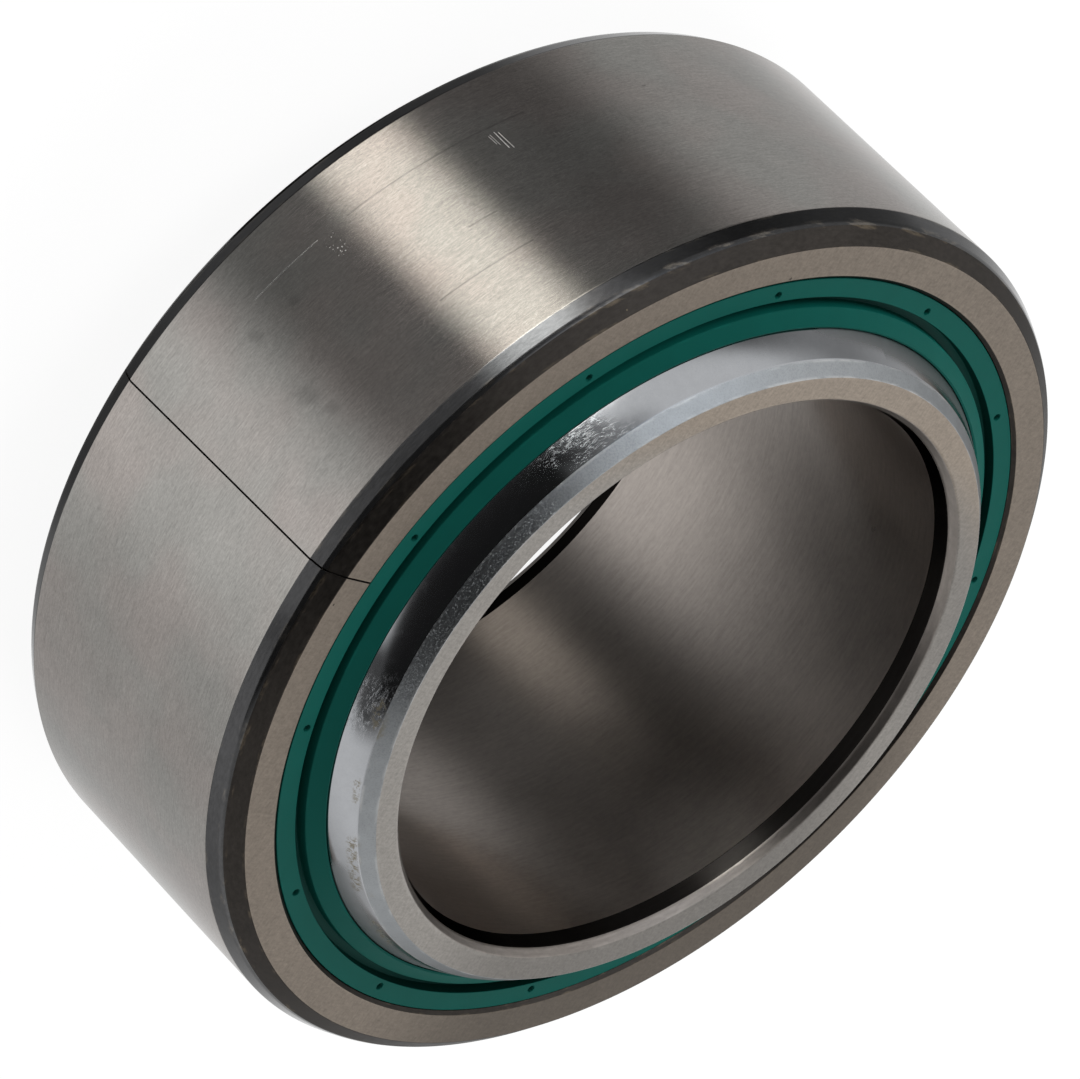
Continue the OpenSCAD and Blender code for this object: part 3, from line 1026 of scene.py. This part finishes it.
# Camera: width of its sensor in mm, nearest and farthest distance in metres
SENSOR_WIDTH = 36.0
CLIP_START = 0.01
CLIP_END = 10.0


def seen_directly(n, path):
    """One for what the camera sees, straight or through glass."""
    return n.most(path["Is Camera Ray"], path["Is Transmission Ray"])


def studio_mask(n, turn, rise, panel):
    """Mask of one flag or lamp of the studio, by the turn and rise of the direction."""
    azimuth, elevation, half_w, half_h, side, end = (math.radians(x) for x in panel)
    return n.use("soft_panel", turn=turn, rise=rise, azimuth=azimuth, elevation=elevation,
                 half_width=half_w, half_height=half_h, side_blur=side, end_blur=end)["Mask"]


def make_world():
    """White to the camera and through glass. Metal mirrors that white, with dark flags and strips in it."""
    world = bpy.data.worlds.new("studio")
    n = Nodes(bare_tree(world))
    direction = n.vector("NORMALIZE", n.add("TexCoord")["Generated"])
    x, y, z = n.add("SeparateXYZ", {0: direction})
    turn, rise = n.calc("ARCTAN2", y, x), n.calc("ARCSINE", z)
    mirrored = WHITE[:3]
    for *panel, depth in STUDIO_FLAGS.values():
        mirrored = n.vector("SCALE", mirrored, n.line(studio_mask(n, turn, rise, panel), -depth, 1.0))
    for *panel, light in STUDIO_STRIPS.values():
        mirrored = n.vector("ADD", mirrored, n.vector("SCALE", light, studio_mask(n, turn, rise, panel)))
    plain, studio, white = (n.add("Background", {0: light})[0] for light in (AMBIENT, mirrored, WHITE))
    path = n.add("LightPath")
    shown = n.mix_shaders(path["Is Glossy Ray"], plain, studio)
    n.add("OutputWorld", {0: n.mix_shaders(seen_directly(n, path), shown, white)})
    bpy.context.scene.world = world


def stage_piece(name, spots, faces, material):
    """A piece of the stage from its points and faces."""
    mesh = bpy.data.meshes.new(name)
    mesh.from_pydata(spots.tolist(), [], faces)
    mesh.materials.append(material)
    piece = new_object(name, mesh)
    return piece


def make_floor(stage):
    """Pale floor: glows white, keeps a soft shadow, and lets metal mirror the studio through it.

    Under the bore it dims the reflections away from one soft pool of light.
    """
    material = bpy.data.materials.new("pale_floor")
    n = Nodes(bare_tree(material))
    path = n.add("LightPath")
    glow = n.add("Emission", {1: n.times(stage.floor_glow, seen_directly(n, path))})[0]
    matt = n.add("BsdfDiffuse", {0: rgba([stage.floor_shade] * 3)})[0]
    lit = n.add("AddShader", {0: glow, 1: matt})[0]
    spot = n.object_place(1 / MM, 1 / MM, 0.0)
    x, y, inner, outer = BORE_LIGHT
    away = n.vector("MULTIPLY", n.vector("SUBTRACT", spot, (x, y, 0.0)), (BORE_NARROWING, 1.0, 1.0))
    level = n.ramp(n.measure("LENGTH", away), outer, inner, *BORE_LEVELS)
    outside = n.calc("GREATER_THAN", n.measure("LENGTH", spot), BORE_R / MM)
    clear = n.add("BsdfTransparent", {0: n.most(level, outside)})[0]
    n.add("OutputMaterial", {0: n.mix_shaders(path["Is Glossy Ray"], lit, clear)})
    corners = FLOOR_HALF * np.array([(-1, -1), (1, -1), (1, 1), (-1, 1)])
    spots = np.column_stack([corners, np.full(4, LOWEST_Z - FLOOR_GAP)])
    stage_piece("floor", spots, [(0, 1, 2, 3)], material)


def make_bore_flag():
    """Dark flag under the floor, part of an upright cylinder: it keeps the strip lamp out of the bore."""
    material = bpy.data.materials.new("flag_cloth")
    n = Nodes(bare_tree(material))
    n.add("OutputMaterial", {0: n.add("Emission", {0: FLAG_COLOUR})[0]})
    turn = np.radians(np.linspace(*FLAG_ENDS, FLAG_LINES))
    ring = np.column_stack([FLAG_R * np.cos(turn), FLAG_R * np.sin(turn)])
    spots = np.vstack([np.column_stack([ring, np.full(FLAG_LINES, LOWEST_Z - depth)])
                       for depth in FLAG_DEPTHS])
    first = np.arange(FLAG_LINES - 1)
    faces = np.column_stack([first, first + 1, first + 1 + FLAG_LINES, first + FLAG_LINES])
    flag = stage_piece("bore_flag", spots, faces.tolist(), material)
    flag.visible_camera = False
    flag.visible_diffuse = False
    flag.visible_shadow = False


def make_lamps(stage):
    """Broad lamps for matt surfaces, turned to the bearing and left out of reflections."""
    for name, (place, size, share) in LAMPS.items():
        data = bpy.data.lights.new(name, "AREA")
        data.energy = stage.lamp_power * share
        data.size = size
        lamp = new_object(name, data)
        lamp.location = place
        lamp.rotation_euler = Vector(place).to_track_quat("Z", "Y").to_euler()
        lamp.visible_glossy = False


def make_camera(stage):
    """Camera on a sphere about its aim, turned by its roll."""
    a, e = stage.azimuth, stage.elevation
    back = Vector((math.cos(e) * math.cos(a), math.cos(e) * math.sin(a), math.sin(e)))
    level = Vector(AXIAL).cross(back).normalized()
    upright = back.cross(level)
    right = math.cos(stage.roll) * level + math.sin(stage.roll) * upright
    up = back.cross(right)
    aim = stage.aim_right * right + stage.aim_up * up
    data = bpy.data.cameras.new("camera")
    data.sensor_fit = "HORIZONTAL"
    data.sensor_width = SENSOR_WIDTH
    data.lens = stage.lens
    data.clip_start = CLIP_START
    data.clip_end = CLIP_END
    camera = new_object("camera", data)
    turned = Matrix((right, up, back)).transposed().to_4x4()
    turned.translation = aim + stage.distance * back
    camera.matrix_world = turned
    bpy.context.scene.camera = camera


# Operators

def dress(piece, body, node):
    """Puts a piece on its body, in place of its node."""
    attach(piece, body)
    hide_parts(node)


class BEARING_OT_stage(bpy.types.Operator):
    """Make the camera, the studio light and the floor"""
    bl_idname = "bearing.stage"
    bl_label = "Stage"

    def execute(self, context):
        make_groups()
        context.scene.view_settings.view_transform = "Standard"
        stage = context.scene.bearing_stage
        make_camera(stage)
        make_world()
        make_lamps(stage)
        make_floor(stage)
        make_bore_flag()
        return {"FINISHED"}


class BEARING_OT_outer_ring(bpy.types.Operator):
    """Make the fractured outer ring with its ground and blackened finishes"""
    bl_idname = "bearing.outer_ring"
    bl_label = "Outer Ring"

    def execute(self, context):
        make_groups()
        piece = build_outer_ring(context.scene.bearing_sizes, context.scene.bearing_colours)
        dress(piece, "housing_side", "outer_ring")
        return {"FINISHED"}


class BEARING_OT_inner_ring(bpy.types.Operator):
    """Make the inner ring with its plated ball and ground bore"""
    bl_idname = "bearing.inner_ring"
    bl_label = "Inner Ring"

    def execute(self, context):
        make_groups()
        piece = build_inner_ring(context.scene.bearing_sizes, context.scene.bearing_colours)
        dress(piece, "shaft_side", "inner_ring")
        return {"FINISHED"}


class BEARING_OT_seals(bpy.types.Operator):
    """Make the two green lip seals"""
    bl_idname = "bearing.seals"
    bl_label = "Seals"

    def execute(self, context):
        make_groups()
        green = context.scene.bearing_colours.seal
        # The groove gets a darkened copy of the green as painted shade
        materials = [moulded_green("moulded_green", green), moulded_green("dark_groove", green, factor=0.45)]
        for node, upper in (("upper_seal", True), ("lower_seal", False)):
            piece = build_seal(context.scene.bearing_sizes, "green_" + node, materials, upper)
            dress(piece, "seals", node)
        return {"FINISHED"}


class BEARING_OT_liner(bpy.types.Operator):
    """Give the sliding liner its woven finish"""
    bl_idname = "bearing.liner"
    bl_label = "Liner"

    def execute(self, context):
        make_groups()
        liner = frame["nodes"]["sliding_liner"]
        weave = woven_liner(context.scene.bearing_colours)
        liner.data.materials.clear()
        liner.data.materials.append(weave)
        return {"FINISHED"}


class BEARING_PT_panel(bpy.types.Panel):
    """Steps and sizes of the bearing"""
    bl_idname = "BEARING_PT_panel"
    bl_label = "Spherical Plain Bearing"
    bl_space_type = "VIEW_3D"
    bl_region_type = "UI"
    bl_category = "Bearing"

    def draw(self, context):
        for operator in OPERATORS:
            self.layout.operator(operator.bl_idname)
        for group in SETTINGS:
            box = self.layout.box()
            settings = getattr(context.scene, group)
            for name in settings.__annotations__:
                box.prop(settings, name)


OPERATORS = (BEARING_OT_stage, BEARING_OT_outer_ring, BEARING_OT_inner_ring, BEARING_OT_seals,
             BEARING_OT_liner)
SETTINGS = {"bearing_sizes": BearingSizes, "bearing_colours": BearingColours, "bearing_stage": BearingStage}
CLASSES = (*SETTINGS.values(), *OPERATORS, BEARING_PT_panel)


def register():
    for cls in CLASSES:
        bpy.utils.register_class(cls)
    for name, cls in SETTINGS.items():
        setattr(bpy.types.Scene, name, PointerProperty(type=cls))


def unregister():
    for name in SETTINGS:
        delattr(bpy.types.Scene, name)
    for cls in reversed(CLASSES):
        bpy.utils.unregister_class(cls)


def main():
    register()
    bpy.ops.bearing.stage()
    bpy.ops.bearing.outer_ring()
    bpy.ops.bearing.inner_ring()
    bpy.ops.bearing.seals()
    bpy.ops.bearing.liner()


if __name__ == "__main__":
    main()
